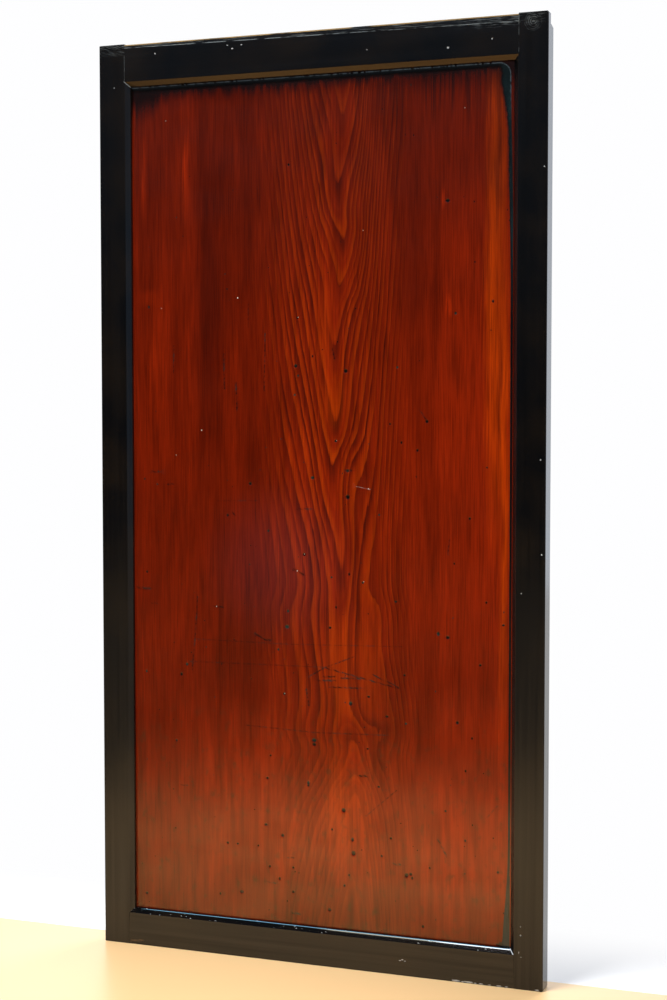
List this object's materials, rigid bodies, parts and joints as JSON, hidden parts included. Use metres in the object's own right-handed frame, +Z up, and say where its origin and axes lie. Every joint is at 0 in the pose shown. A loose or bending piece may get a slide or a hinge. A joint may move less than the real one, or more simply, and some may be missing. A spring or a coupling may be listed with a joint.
{
  "type": "wooden sliding door",
  "caption": "Lacquered sliding board door: one wide flat-sawn board in a black chamfered frame, with a head tongue and back battens.",
  "frame": {"origin": "middle of the foot, on the surface that the door stands on", "axes": "+X to the right seen from the front, +Y from the front face to the back, +Z up"},
  "size_m": [0.89, 0.036, 1.757],
  "materials": {
    "black_lacquer": "gloss",
    "lacquered_board": "gloss",
    "bare_wood": "matte"
  },
  "bodies": {
    "root": {"left_stile": "black_lacquer", "right_stile": "black_lacquer", "top_rail": "black_lacquer", "bottom_rail": "black_lacquer", "back_batten_1": "black_lacquer", "back_batten_2": "black_lacquer", "back_batten_3": "black_lacquer", "back_batten_4": "black_lacquer", "panel": "lacquered_board", "tenon_wedges": "bare_wood"}
  },
  "joints": []
}
